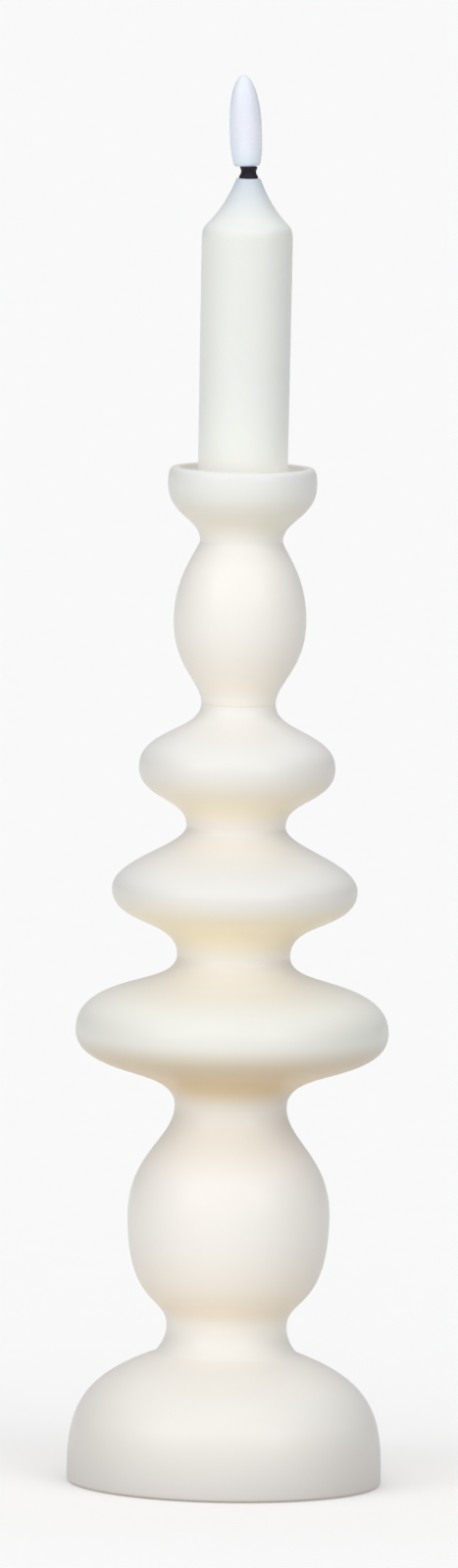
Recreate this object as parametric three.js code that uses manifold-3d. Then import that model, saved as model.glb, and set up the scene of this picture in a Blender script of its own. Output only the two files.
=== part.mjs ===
// A turned wooden candlestick, lacquered cream, with a battery taper candle standing in its cup.
// Six turned sections are stacked on one axis: a foot, a belly, three discs and a bulb that carries the cup.
// A screw holds the foot to the belly, and glued dowels join the other sections.
// Millimetres, +Z up. The origin is on the table, in the middle of the foot.
import * as THREE from 'three';
import { mergeVertices } from 'three/addons/utils/BufferGeometryUtils.js';
import Module from 'manifold-3d';

const wasm = await Module();
wasm.setup();

// ---------------------------------------------------------------- driving dimensions

const GAP = 0.3; // between pieces that touch on the real object
const TURNED_SIDES = 32; // around the wooden sections
const CANDLE_SIDES = 24;
const SMALL_SIDES = 16;
const CURVE_STEPS = 5; // along each curve of an outline

// Necks where two turned sections meet, from the table up.
const FOOT_NECK = { radius: 14.7, height: 38.5 };
const BELLY_NECK = { radius: 13.7, height: 92.8 };
const LOWER_NECK = { radius: 13.8, height: 129.8 };
const MIDDLE_NECK = { radius: 12.1, height: 161.6 };
const UPPER_NECK = { radius: 9.1, height: 191.7 };
const CUP_NECK = { radius: 10.1, height: 231.6 };

// Widest points. An outline leaves and reaches each neck and each widest point upright:
// the four lengths are those of its curves' handles, from the neck below to the neck above.
const BELLY = { radius: 24.7, height: 66, handles: [7.7, 23.1, 14.7, 8.4] };
const LOWER_DISC = { radius: 38.3, height: 111.2, handles: [10.1, 11.3, 13.4, 8.6] };
const MIDDLE_DISC = { radius: 30, height: 146, handles: [9.1, 9.1, 7.0, 5.2] };
const UPPER_DISC = { radius: 24, height: 176, handles: [6.9, 8.1, 8.9, 7.0] };
const BULB = { radius: 16.2, height: 212.1, handles: [5.0, 11.7, 11.3, 2.0] };
const CUP = { radius: 18.2, height: 245.4, handles: [5.2, 7.8] };

// The foot's side stands upright, then domes over to a crease where the neck's cove begins.
const FOOT = { radius: 38.5, edge: 0.8, sideTop: 3, domeHandle: 15, coveHandle: 3.5 };
const CREASE = { radius: 17.4, height: 32, domeReach: 17.9, domeDrop: 6.5, coveReach: 0.3, coveRise: 0.4 };

// The cup's rim, the shallow dish inside it and the candle's socket in the dish's floor.
const RIM = { height: 249.5, outer: 16.8, inner: 15.4, upright: 1.6, crown: 1 };
const DISH = { floor: 247.7, corner: 0.8 };
const SOCKET = { radius: 11.35, floor: 237.3, chamfer: 0.4 };

const FELT = { radius: 34, thickness: 1.2, proud: 0.3 };
const DOWEL = { radius: 4, length: 26, flutes: 12, flute: 0.3, bevel: 0.8 };
const SCREW = {
  headRadius: 4.6, coreRadius: 1.8, threadRadius: 2.3, head: 10.3, headDepth: 2.4, tip: 58, pitch: 2,
};

// The candle, by heights above its own lower end.
const CANDLE_BOTTOM = SOCKET.floor + GAP;
const CANDLE = { radius: 10.95, topRadius: 11.15, bore: 9, boreTop: 67.5 };
const SHOULDER = { height: 69.6, bevel: 0.3, bevelHeight: 0.8 };
const TIP = { radius: 3, height: 82.5, hole: 1.9, holeLength: 1.8 };
const TIP_BEND = { radius: 5.9, height: 75 }; // where the tip's outer hollow curve heads for at both ends
const TIP_BORE_BEND = { radius: 6, height: 73 }; // the same inside
const COLLAR = { top: 85.4, radius: 2.35, waist: 1.8, spigot: 1.6, bore: 1.1, bottom: 79.3 };
const FLAME = { bottom: 85.9, widest: 94.8, top: 107.9, radius: 3.95, footRadius: 2.7 };
const FLAME_CURVE = { footReach: 0.9, footRise: 0.3, below: 5.2, above: 6.6, tipReach: 2.5, tipDrop: 0.7 };
const FLAME_STEM = { radius: 0.8, bottom: 81.6 };
const FLAME_LEAN = { angle: THREE.MathUtils.degToRad(3.3), aside: 0.4 };

// The twist cap, and the bayonet that holds it in the candle.
const CAP = { radius: 10.7, plate: 2, chamfer: 0.5, neck: 8.65, bore: 7.2, top: 8.4, recess: 0.6 };
const LUG = { inner: 7.9, outer: 9.8, bottom: 4.6, height: 1.8, span: 24 };
const LUG_ANGLES = [0, 180];
const LUG_SLOT_RADIUS = 10.1;
const LUG_PLAY = 1.5; // degrees
const CAP_TURN = 30; // degrees from locked to free

// The slide switch in the cap.
const SWITCH = { length: 9, width: 4.6, height: 3.4 };
const KNOB = { length: 2.6, width: 2.4, bottom: 1, top: 3.9, travel: 2 };

// What stands above the cap, by heights above the candle's lower end.
const CAP_CONTACT = { radius: 8, bottom: CAP.top + GAP, thickness: 0.4 };
const SPRING = { bottom: 9.7, top: 13.1, wide: 4.2, narrow: 2.4, wire: 0.3, turns: 3 };
const CELL = { bottom: 13.7, radius: 5.2, body: 43.5, button: 1, buttonRadius: 1.9 };
const TOP_CONTACT = { radius: 5, bottom: 58.5, thickness: 0.4 };
const HOLDER = { bottom: 11, bore: 5.6, radius: 6.8, boreTop: 59.2, top: 60.4, rib: 1.6, ribReach: 8.7 };
const STRIP = { width: 2.4, thickness: 0.4, radius: 7.4, bottom: 9.4, angle: Math.PI / 4 };
const LEAD = { radius: 0.5, from: 3, to: 4.5, bottom: 59.2, handle: 3 };
const BOARD = { radius: 8.2, bottom: 64.4, thickness: 1.2 };
const CHIPS = [
  { size: [3.6, 3, 1.2], at: [-3.5, 2.5] },
  { size: [3.2, 3.2, 2], at: [3.2, -3.4] },
  { size: [1.6, 0.9, 0.6], at: [-3.6, -3.2] },
];
const LED = { radius: 1.5, flange: 1.9, flangeHeight: 1, bottom: 73.5, top: 78.8 };
const LED_LEG = { side: 0.5, spacing: 2.54 };

const OVERCUT = 1; // how far a cutting shape runs past the face that it opens
const MERGE = 0.2; // how far joined shapes run into each other

// ---------------------------------------------------------------- finishes

const finish = (color, roughness, metalness = 0) =>
  new THREE.MeshStandardMaterial({ color, roughness, metalness });

const lacquer = () => finish('#efe9df', 0.4);
const beech = () => finish('#cfa877', 0.7);
const felt = () => finish('#d9d2c4', 0.95);
const wax = () => finish('#eceade', 0.45);
const ivoryPlastic = () => finish('#e9e5d8', 0.5);
const blackPlastic = () => finish('#17141a', 0.5);
const whitePlastic = () => finish('#f2f2ee', 0.5);
const opal = () => finish('#f1f5fb', 0.25);
const clearResin = () => finish('#f7f0d8', 0.15);
const steel = () => finish('#b9bcc0', 0.3, 1);
const board = () => finish('#2f6b45', 0.5);
const jacket = () => finish('#6f7780', 0.35, 0.6);
const redCover = () => finish('#a8322c', 0.5);

// ---------------------------------------------------------------- ways to make a piece

// A solid turned about Z. The outline runs out from the axis, up and back, or closes on itself.
function turned(outline, sides, steps = CURVE_STEPS) {
  return new THREE.LatheGeometry(outline.getPoints(steps), sides).rotateX(Math.PI / 2);
}

// A plain round rod or plate between two heights.
function cylinder(radius, bottom, top, sides = SMALL_SIDES) {
  const geometry = new THREE.CylinderGeometry(radius, radius, top - bottom, sides);
  return geometry.rotateX(Math.PI / 2).translate(0, 0, (bottom + top) / 2);
}

function box(length, width, bottom, top) {
  return new THREE.BoxGeometry(length, width, top - bottom).translate(0, 0, (bottom + top) / 2);
}

// Part of a ring, from its middle angle and its span in degrees.
function ringSector(inner, outer, middle, span, bottom, top) {
  const start = THREE.MathUtils.degToRad(middle - span / 2);
  const end = THREE.MathUtils.degToRad(middle + span / 2);
  const shape = new THREE.Shape();
  shape.absarc(0, 0, outer, start, end, false);
  shape.absarc(0, 0, inner, end, start, true);
  shape.closePath();
  const settings = { depth: top - bottom, bevelEnabled: false, curveSegments: 5 };
  const geometry = new THREE.ExtrudeGeometry(shape, settings);
  return geometry.translate(0, 0, bottom);
}

// Carries an outline on to the next neck or widest point, upright where it leaves and arrives.
function flow(outline, { radius, height }, leave, arrive) {
  const { x, y } = outline.currentPoint;
  outline.bezierCurveTo(x, y + leave, radius, height - arrive, radius, height);
}

function toSolid(geometry) {
  const bare = geometry.clone();
  bare.deleteAttribute('normal');
  bare.deleteAttribute('uv');
  const merged = mergeVertices(bare, 1e-4);
  return new wasm.Manifold(new wasm.Mesh({
    numProp: 3,
    vertProperties: new Float32Array(merged.attributes.position.array),
    triVerts: new Uint32Array(merged.index.array),
  }));
}

function toGeometry(solid) {
  const { vertProperties, triVerts } = solid.getMesh();
  const geometry = new THREE.BufferGeometry();
  geometry.setAttribute('position', new THREE.BufferAttribute(vertProperties, 3));
  geometry.setIndex(new THREE.BufferAttribute(triVerts, 1));
  geometry.computeVertexNormals();
  return geometry;
}

const join = (...pieces) => toGeometry(pieces.map(toSolid).reduce((all, piece) => all.add(piece)));
const cut = (body, ...tools) =>
  toGeometry(tools.map(toSolid).reduce((left, tool) => left.subtract(tool), toSolid(body)));

function piece(name, geometry, material) {
  const mesh = new THREE.Mesh(geometry, material);
  mesh.name = name;
  return mesh;
}

// ---------------------------------------------------------------- candlestick

// The dome's underside is recessed for the felt, and a counterbore takes the screw's head.
function foot() {
  const neckTop = FOOT_NECK.height - GAP / 2;
  const recess = FELT.thickness + GAP;
  const hole = SCREW.threadRadius + 2 * GAP;
  const seat = SCREW.head + GAP;
  const outline = new THREE.Path();
  outline.moveTo(hole, neckTop);
  outline.lineTo(hole, seat + SCREW.headDepth);
  outline.lineTo(SCREW.headRadius + GAP, seat);
  outline.lineTo(SCREW.headRadius + 4 * GAP, seat);
  outline.lineTo(SCREW.headRadius + 4 * GAP, recess);
  outline.lineTo(FELT.radius + GAP, recess);
  outline.lineTo(FELT.radius + GAP, FELT.proud);
  outline.lineTo(FOOT.radius - FOOT.edge, FELT.proud);
  outline.lineTo(FOOT.radius, FELT.proud + FOOT.edge);
  outline.lineTo(FOOT.radius, FOOT.sideTop);
  outline.bezierCurveTo(
    FOOT.radius, FOOT.sideTop + FOOT.domeHandle,
    CREASE.radius + CREASE.domeReach, CREASE.height - CREASE.domeDrop,
    CREASE.radius, CREASE.height,
  );
  outline.bezierCurveTo(
    CREASE.radius - CREASE.coveReach, CREASE.height + CREASE.coveRise,
    FOOT_NECK.radius, neckTop - FOOT.coveHandle,
    FOOT_NECK.radius, neckTop,
  );
  outline.lineTo(hole, neckTop);
  return piece('foot', turned(outline, TURNED_SIDES), lacquer());
}

function feltPad() {
  return piece('felt_pad', cylinder(FELT.radius, 0, FELT.thickness, TURNED_SIDES), felt());
}

// A countersunk wood screw: its thread is a row of sharp rings.
function footScrew() {
  const outline = new THREE.Path();
  const threadStart = FOOT_NECK.height + SCREW.pitch;
  outline.moveTo(0, SCREW.head);
  outline.lineTo(SCREW.headRadius, SCREW.head);
  outline.lineTo(SCREW.threadRadius, SCREW.head + SCREW.headDepth - GAP);
  outline.lineTo(SCREW.threadRadius, threadStart);
  for (let z = threadStart; z < SCREW.tip - 2 * SCREW.pitch; z += SCREW.pitch) {
    outline.lineTo(SCREW.coreRadius, z + SCREW.pitch / 2);
    outline.lineTo(SCREW.threadRadius, z + SCREW.pitch);
  }
  outline.lineTo(0, SCREW.tip);
  return piece('foot_screw', turned(outline, 12), steel());
}

// One turned section between two necks, bored at both ends.
function section(name, below, widest, above, boreBelow, boreAbove) {
  const [leaveNeck, arriveWide, leaveWide, arriveNeck] = widest.handles;
  const bottom = { radius: below.radius, height: below.height + GAP / 2 };
  const top = { radius: above.radius, height: above.height - GAP / 2 };
  const outline = new THREE.Path();
  outline.moveTo(0, bottom.height + boreBelow.depth);
  outline.lineTo(boreBelow.radius, bottom.height + boreBelow.depth);
  outline.lineTo(boreBelow.radius, bottom.height);
  outline.lineTo(bottom.radius, bottom.height);
  flow(outline, widest, leaveNeck, arriveWide);
  flow(outline, top, leaveWide, arriveNeck);
  outline.lineTo(boreAbove.radius, top.height);
  outline.lineTo(boreAbove.radius, top.height - boreAbove.depth);
  outline.lineTo(0, top.height - boreAbove.depth);
  return piece(name, turned(outline, TURNED_SIDES), lacquer());
}

// The bulb, the cup's neck and the cup are one turning.
function candleCup(dowelBore) {
  const bottom = UPPER_NECK.height + GAP / 2;
  const outline = new THREE.Path();
  outline.moveTo(0, bottom + dowelBore.depth);
  outline.lineTo(dowelBore.radius, bottom + dowelBore.depth);
  outline.lineTo(dowelBore.radius, bottom);
  outline.lineTo(UPPER_NECK.radius, bottom);
  flow(outline, BULB, BULB.handles[0], BULB.handles[1]);
  flow(outline, CUP_NECK, BULB.handles[2], BULB.handles[3]);
  flow(outline, CUP, CUP.handles[0], CUP.handles[1]);
  outline.bezierCurveTo(
    CUP.radius, RIM.height - RIM.upright,
    RIM.outer + RIM.crown, RIM.height,
    RIM.outer, RIM.height,
  );
  outline.lineTo(RIM.inner, RIM.height);
  outline.lineTo(RIM.inner - DISH.corner / 2, DISH.floor + DISH.corner);
  outline.lineTo(RIM.inner - DISH.corner * 1.5, DISH.floor);
  outline.lineTo(SOCKET.radius + SOCKET.chamfer, DISH.floor);
  outline.lineTo(SOCKET.radius, DISH.floor - SOCKET.chamfer);
  outline.lineTo(SOCKET.radius, SOCKET.floor);
  outline.lineTo(0, SOCKET.floor);
  return piece('candle_cup', turned(outline, TURNED_SIDES), lacquer());
}

// A fluted dowel across a neck.
function dowel(name, neck) {
  const shape = new THREE.Shape();
  const reach = DOWEL.radius - DOWEL.bevel;
  for (let i = 0; i < 2 * DOWEL.flutes; i += 1) {
    const radius = reach - (i % 2) * DOWEL.flute;
    const angle = (Math.PI * i) / DOWEL.flutes;
    shape[i ? 'lineTo' : 'moveTo'](radius * Math.cos(angle), radius * Math.sin(angle));
  }
  shape.closePath();
  const geometry = new THREE.ExtrudeGeometry(shape, {
    depth: DOWEL.length - 2 * DOWEL.bevel,
    bevelSize: DOWEL.bevel,
    bevelThickness: DOWEL.bevel,
    bevelSegments: 1,
  });
  const mesh = piece(name, geometry, beech());
  mesh.position.z = neck.height - DOWEL.length / 2 + DOWEL.bevel;
  return mesh;
}

function candlestick() {
  const dowelBore = { radius: DOWEL.radius + GAP, depth: DOWEL.length / 2 + GAP };
  const screwBore = { radius: SCREW.threadRadius + GAP, depth: SCREW.tip - FOOT_NECK.height + GAP };
  const group = new THREE.Group();
  group.add(
    feltPad(),
    foot(),
    footScrew(),
    section('belly', FOOT_NECK, BELLY, BELLY_NECK, screwBore, dowelBore),
    section('lower_disc', BELLY_NECK, LOWER_DISC, LOWER_NECK, dowelBore, dowelBore),
    section('middle_disc', LOWER_NECK, MIDDLE_DISC, MIDDLE_NECK, dowelBore, dowelBore),
    section('upper_disc', MIDDLE_NECK, UPPER_DISC, UPPER_NECK, dowelBore, dowelBore),
    candleCup(dowelBore),
  );
  const joints = [BELLY_NECK, LOWER_NECK, MIDDLE_NECK, UPPER_NECK];
  joints.forEach((neck, i) => group.add(dowel(`dowel_${i + 1}`, neck)));
  return group;
}

// ---------------------------------------------------------------- candle

// A wax-coated tube with a shoulder and a hollow-sided tip, cut inside for the cap's two lugs.
function candleBody() {
  const bottom = CAP.plate + GAP;
  const outline = new THREE.Path();
  outline.moveTo(TIP.hole, TIP.height);
  outline.lineTo(TIP.hole, TIP.height - TIP.holeLength);
  outline.quadraticCurveTo(TIP_BORE_BEND.radius, TIP_BORE_BEND.height, CANDLE.bore, CANDLE.boreTop);
  outline.lineTo(CANDLE.bore, bottom);
  outline.lineTo(CANDLE.radius, bottom);
  outline.lineTo(CANDLE.topRadius, SHOULDER.height);
  outline.lineTo(CANDLE.topRadius - SHOULDER.bevel, SHOULDER.height + SHOULDER.bevelHeight);
  outline.quadraticCurveTo(TIP_BEND.radius, TIP_BEND.height, TIP.radius, TIP.height);
  outline.lineTo(TIP.hole, TIP.height);
  const inner = CANDLE.bore - OVERCUT;
  const slotBottom = LUG.bottom - GAP;
  const slotTop = LUG.bottom + LUG.height + GAP;
  const entryBottom = bottom - OVERCUT;
  const span = LUG.span + 2 * LUG_PLAY;
  const slots = LUG_ANGLES.flatMap((angle) => [
    ringSector(inner, LUG_SLOT_RADIUS, angle + CAP_TURN / 2, span + CAP_TURN, slotBottom, slotTop),
    ringSector(inner, LUG_SLOT_RADIUS, angle + CAP_TURN, span, entryBottom, slotTop),
  ]);
  return piece('candle_body', cut(turned(outline, CANDLE_SIDES), ...slots), wax());
}

function wickCollar() {
  const flangeBottom = TIP.height + GAP;
  const outline = new THREE.Path();
  outline.moveTo(COLLAR.bore, COLLAR.top);
  outline.lineTo(COLLAR.bore, COLLAR.bottom);
  outline.lineTo(COLLAR.spigot, COLLAR.bottom);
  outline.lineTo(COLLAR.spigot, flangeBottom);
  outline.lineTo(COLLAR.radius, flangeBottom);
  const bendRadius = 2 * COLLAR.waist - COLLAR.radius;
  outline.quadraticCurveTo(bendRadius, (flangeBottom + COLLAR.top) / 2, COLLAR.radius, COLLAR.top);
  outline.lineTo(COLLAR.bore, COLLAR.top);
  return piece('wick_collar', turned(outline, SMALL_SIDES), blackPlastic());
}

// The flame stands a little aside of its upright stem and leans the same way.
function flameTip() {
  const { radius, bottom, widest, top, footRadius } = FLAME;
  const { footReach, footRise, below, above, tipReach, tipDrop } = FLAME_CURVE;
  const outline = new THREE.Path();
  outline.moveTo(0, 0);
  outline.lineTo(footRadius, 0);
  outline.bezierCurveTo(
    footRadius + footReach, footRise,
    radius, widest - bottom - below,
    radius, widest - bottom,
  );
  outline.bezierCurveTo(radius, widest - bottom + above, tipReach, top - bottom - tipDrop, 0, top - bottom);
  const flame = turned(outline, SMALL_SIDES).rotateY(-FLAME_LEAN.angle);
  flame.translate(-FLAME_LEAN.aside, 0, bottom);
  const stem = cylinder(FLAME_STEM.radius, FLAME_STEM.bottom, bottom + OVERCUT);
  return piece('flame_tip', join(flame, stem), opal());
}

// A round-topped lamp with a flange and two legs down to the board.
function ledLamp() {
  const dome = LED.top - LED.radius;
  const outline = new THREE.Path();
  outline.moveTo(0, LED.bottom);
  outline.lineTo(LED.flange, LED.bottom);
  outline.lineTo(LED.flange, LED.bottom + LED.flangeHeight);
  outline.lineTo(LED.radius, LED.bottom + LED.flangeHeight);
  outline.absarc(0, dome, LED.radius, 0, Math.PI / 2, false);
  const legBottom = BOARD.bottom + BOARD.thickness + GAP;
  const legs = [-1, 1].map((side) =>
    box(LED_LEG.side, LED_LEG.side, legBottom, LED.bottom + MERGE)
      .translate((side * LED_LEG.spacing) / 2, 0, 0));
  return piece('led_lamp', join(turned(outline, SMALL_SIDES, 3), ...legs), clearResin());
}

function driverBoard() {
  const top = BOARD.bottom + BOARD.thickness;
  const chips = CHIPS.map(({ size: [length, width, height], at: [x, y] }) =>
    box(length, width, top - MERGE, top + height).translate(x, y, 0));
  const disc = cylinder(BOARD.radius, BOARD.bottom, top, CANDLE_SIDES);
  return piece('driver_board', join(disc, ...chips), board());
}

// A sleeve for the cell, centred in the candle by four ribs and closed at its top end.
function batteryHolder() {
  const rib = () => box(2 * HOLDER.ribReach, HOLDER.rib, HOLDER.bottom, HOLDER.top);
  const sleeve = cylinder(HOLDER.radius, HOLDER.bottom, HOLDER.top, CANDLE_SIDES);
  const bore = cylinder(HOLDER.bore, HOLDER.bottom - OVERCUT, HOLDER.boreTop, CANDLE_SIDES);
  const leadHole = cylinder(LEAD.radius + GAP, HOLDER.boreTop - OVERCUT, HOLDER.top + OVERCUT);
  leadHole.translate(LEAD.from, 0, 0);
  const whole = join(sleeve, rib(), rib().rotateZ(Math.PI / 2));
  return piece('battery_holder', cut(whole, bore, leadHole), whitePlastic());
}

function batteryCell() {
  const shoulder = CELL.bottom + CELL.body;
  const button = cylinder(CELL.buttonRadius, shoulder - MERGE, shoulder + CELL.button);
  const can = cylinder(CELL.radius, CELL.bottom, shoulder, CANDLE_SIDES);
  return piece('battery_cell', join(can, button), jacket());
}

function topContact() {
  const { radius, bottom, thickness } = TOP_CONTACT;
  return piece('top_contact', cylinder(radius, bottom, bottom + thickness, CANDLE_SIDES), steel());
}

// The strip runs up beside the sleeve, between two ribs, to the underside of the board.
function sideStrip() {
  const strip = box(STRIP.thickness, STRIP.width, STRIP.bottom, BOARD.bottom - GAP);
  strip.translate(STRIP.radius, 0, 0).rotateZ(STRIP.angle);
  return piece('side_strip', strip, steel());
}

// The insulated lead rises through the holder's end and bends out to the board.
function positiveLead() {
  const top = BOARD.bottom - GAP;
  const route = new THREE.CubicBezierCurve3(
    new THREE.Vector3(LEAD.from, 0, LEAD.bottom),
    new THREE.Vector3(LEAD.from, 0, LEAD.bottom + LEAD.handle),
    new THREE.Vector3(LEAD.to, 0, top - LEAD.handle / 2),
    new THREE.Vector3(LEAD.to, 0, top),
  );
  const round = new THREE.Shape().absarc(0, 0, LEAD.radius, 0, 2 * Math.PI, false);
  const lead = new THREE.ExtrudeGeometry(round, { steps: 4, extrudePath: route, curveSegments: 4 });
  return piece('positive_lead', lead, redCover());
}

// ---------------------------------------------------------------- cap and switch

// The room that the knob slides in.
function knobSlot(bottom, top) {
  return box(KNOB.length + KNOB.travel + 2 * GAP, KNOB.width + 2 * GAP, bottom, top);
}

// A plate with a hollow neck, two bayonet lugs and a slot for the switch's knob.
function batteryCap() {
  const outline = new THREE.Path();
  outline.moveTo(0, 0);
  outline.lineTo(CAP.radius - CAP.chamfer, 0);
  outline.lineTo(CAP.radius, CAP.chamfer);
  outline.lineTo(CAP.radius, CAP.plate);
  outline.lineTo(CAP.neck, CAP.plate);
  outline.lineTo(CAP.neck, CAP.top);
  outline.lineTo(CAP.bore, CAP.top);
  outline.lineTo(CAP.bore, CAP.plate);
  outline.lineTo(0, CAP.plate);
  const lugs = LUG_ANGLES.map((angle) =>
    ringSector(LUG.inner, LUG.outer, angle, LUG.span, LUG.bottom, LUG.bottom + LUG.height));
  const slot = knobSlot(-OVERCUT, CAP.plate + OVERCUT);
  const fingerRecess = box(SWITCH.length, SWITCH.width, -OVERCUT, CAP.recess);
  const whole = join(turned(outline, CANDLE_SIDES), ...lugs);
  return piece('battery_cap', cut(whole, slot, fingerRecess), ivoryPlastic());
}

function switchCase() {
  const bottom = CAP.plate + GAP;
  const whole = box(SWITCH.length, SWITCH.width, bottom, bottom + SWITCH.height);
  return piece('switch_case', cut(whole, knobSlot(bottom - OVERCUT, KNOB.top + GAP)), blackPlastic());
}

// The knob rests at the off end of its slot.
function switchKnob() {
  const knob = box(KNOB.length, KNOB.width, KNOB.bottom, KNOB.top).translate(-KNOB.travel / 2, 0, 0);
  return piece('switch_knob', knob, whitePlastic());
}

function capContact() {
  const { radius, bottom, thickness } = CAP_CONTACT;
  return piece('cap_contact', cylinder(radius, bottom, bottom + thickness, CANDLE_SIDES), steel());
}

// A wire that climbs in a spiral and draws in towards the cell.
class SpringPath extends THREE.Curve {
  getPoint(t, target = new THREE.Vector3()) {
    const angle = 2 * Math.PI * SPRING.turns * t;
    const radius = THREE.MathUtils.lerp(SPRING.wide, SPRING.narrow, t);
    const height = THREE.MathUtils.lerp(SPRING.bottom, SPRING.top, t);
    return target.set(radius * Math.cos(angle), radius * Math.sin(angle), height);
  }
}

function capSpring() {
  const wire = new THREE.Shape().absarc(0, 0, SPRING.wire, 0, 2 * Math.PI, false);
  const settings = { steps: 12 * SPRING.turns, extrudePath: new SpringPath(), curveSegments: 3 };
  return piece('cap_spring', new THREE.ExtrudeGeometry(wire, settings), steel());
}

function candle() {
  const group = new THREE.Group();
  group.position.z = CANDLE_BOTTOM;
  group.add(
    candleBody(),
    wickCollar(),
    flameTip(),
    ledLamp(),
    driverBoard(),
    batteryHolder(),
    batteryCell(),
    topContact(),
    sideStrip(),
    positiveLead(),
    batteryCap(),
    switchCase(),
    switchKnob(),
    capContact(),
    capSpring(),
  );
  return group;
}

const group = new THREE.Group();
group.add(candlestick(), candle());

export default group;
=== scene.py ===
"""Looks of a turned wooden candlestick with a battery taper candle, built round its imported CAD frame."""
import math

import bmesh
import bpy
from mathutils import Matrix, Vector, noise


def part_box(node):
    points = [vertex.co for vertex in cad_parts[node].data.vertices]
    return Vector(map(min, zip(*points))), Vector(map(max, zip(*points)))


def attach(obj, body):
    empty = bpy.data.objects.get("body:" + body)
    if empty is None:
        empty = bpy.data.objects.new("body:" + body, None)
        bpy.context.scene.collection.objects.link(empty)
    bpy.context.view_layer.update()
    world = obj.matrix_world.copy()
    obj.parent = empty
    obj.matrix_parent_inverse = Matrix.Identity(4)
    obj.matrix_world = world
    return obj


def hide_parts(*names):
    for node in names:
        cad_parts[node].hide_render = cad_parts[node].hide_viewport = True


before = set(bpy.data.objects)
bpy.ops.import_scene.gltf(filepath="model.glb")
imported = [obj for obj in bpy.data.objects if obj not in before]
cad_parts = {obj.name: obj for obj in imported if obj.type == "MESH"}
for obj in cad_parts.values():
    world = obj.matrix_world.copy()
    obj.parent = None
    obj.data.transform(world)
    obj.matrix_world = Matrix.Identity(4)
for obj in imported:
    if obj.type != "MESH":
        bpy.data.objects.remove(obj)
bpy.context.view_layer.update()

# Outlines are in millimetres, as (radius, height) points about the turning axis. Blender works in metres.
MM = 0.001
# A radius below ON_AXIS is on the axis, and points closer than SAME_PLACE are one.
ON_AXIS = 1e-6
SAME_PLACE = 0.001
TURNED_SIDES = 144
SMALL_SIDES = 64
CURVE_STEPS = 22
FILLET_STEPS = 4
SHARP_ANGLE = math.radians(38)
BROKEN_EDGE = 0.08
# How far a cutting shape runs past the face that it opens.
OVERCUT = 1
FELT_SEED = 4

# ---------------------------------------------------------------- sizes, in step with the CAD model's

FOOT_NECK = (14.7, 38.5)
BELLY_NECK = (13.7, 92.8)
LOWER_NECK = (13.8, 129.8)
MIDDLE_NECK = (12.1, 161.6)
UPPER_NECK = (9.1, 191.7)
CUP_NECK = (10.1, 231.6)

# Widest point, then the handles of the curves from the neck below to the neck above. The cup has no neck
# above it.
BELLY = ((24.7, 66.0), (7.7, 23.1, 14.7, 8.4))
LOWER_DISC = ((38.3, 111.2), (10.1, 11.3, 13.4, 8.6))
MIDDLE_DISC = ((30.0, 146.0), (9.1, 9.1, 7.0, 5.2))
UPPER_DISC = ((24.0, 176.0), (6.9, 8.1, 8.9, 7.0))
BULB = ((16.2, 212.1), (5.0, 11.7, 11.3, 2.0))
CUP = ((18.2, 245.4), (5.2, 7.8))

FOOT_RADIUS = 38.5
FOOT_EDGE = 0.8
FOOT_SIDE_TOP = 3.0
FOOT_DOME_HANDLE = 15.0
FOOT_COVE_HANDLE = 3.5
CREASE = (17.4, 32.0)
CREASE_TO_DOME = (35.3, 25.5)
CREASE_TO_COVE = (17.1, 32.4)
FELT_RADIUS = 34.0
FELT_TOP = 1.2
FELT_RECESS = (34.4, 1.5)
FOOT_UNDERSIDE = 0.3
SCREW_HOLE = 2.9
SCREW_SEAT = (4.9, 10.6)
SCREW_SEAT_TOP = 13.0
COUNTERBORE = 5.8
SCREW_BORE = (2.6, 20.0)
DOWEL_BORE = (4.3, 13.3)

RIM_HEIGHT = 249.5
RIM_OUTER = 16.8
RIM_INNER = 15.4
RIM_UPRIGHT = 1.6
RIM_CROWN = 1.0
DISH_FLOOR = 247.7
SOCKET_RADIUS = 11.35
SOCKET_FLOOR = 237.3

# The candle's heights are counted from its own lower end, which is CANDLE_BOTTOM above the table.
CANDLE_BOTTOM = 237.6
CANDLE_RADIUS = 10.95
CANDLE_TOP_RADIUS = 11.15
CANDLE_BORE = 9.0
CANDLE_BORE_TOP = 67.5
CANDLE_TUBE_BOTTOM = 2.3
SHOULDER_HEIGHT = 69.6
SHOULDER_BEND = (11.15, 70.1)
SHOULDER_TOP = (10.2, 71.0)
SHOULDER_SOFTNESS = 2.0
TIP = (3.0, 82.5)
TIP_BEND = (5.9, 75.0)
TIP_BORE_BEND = (6.0, 73.0)
TIP_HOLE = (1.9, 80.7)
COLLAR_TOP = 85.4
FLAME_LEAN = math.radians(3.3)
FLAME_ASIDE = 0.4

# Bayonet: where the cap's lugs are, and the slots that they turn in. Angles are in degrees.
LUG_ANGLES = (0, 180)
LUG_SPAN = 24
LUG_RING = (7.9, 9.8)
LUG_HEIGHTS = (4.6, 6.4)
SLOT_RING = (8.0, 10.1)
SLOT_HEIGHTS = (4.3, 6.7)
SLOT_PLAY = 3
CAP_TURN = 30

# The glued necks are filled and lacquered over. Only the neck under the bulb shows its joint, as a groove.
SEAM_ROUNDING = 0.09
SEAM_GAP = 0.02


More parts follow.
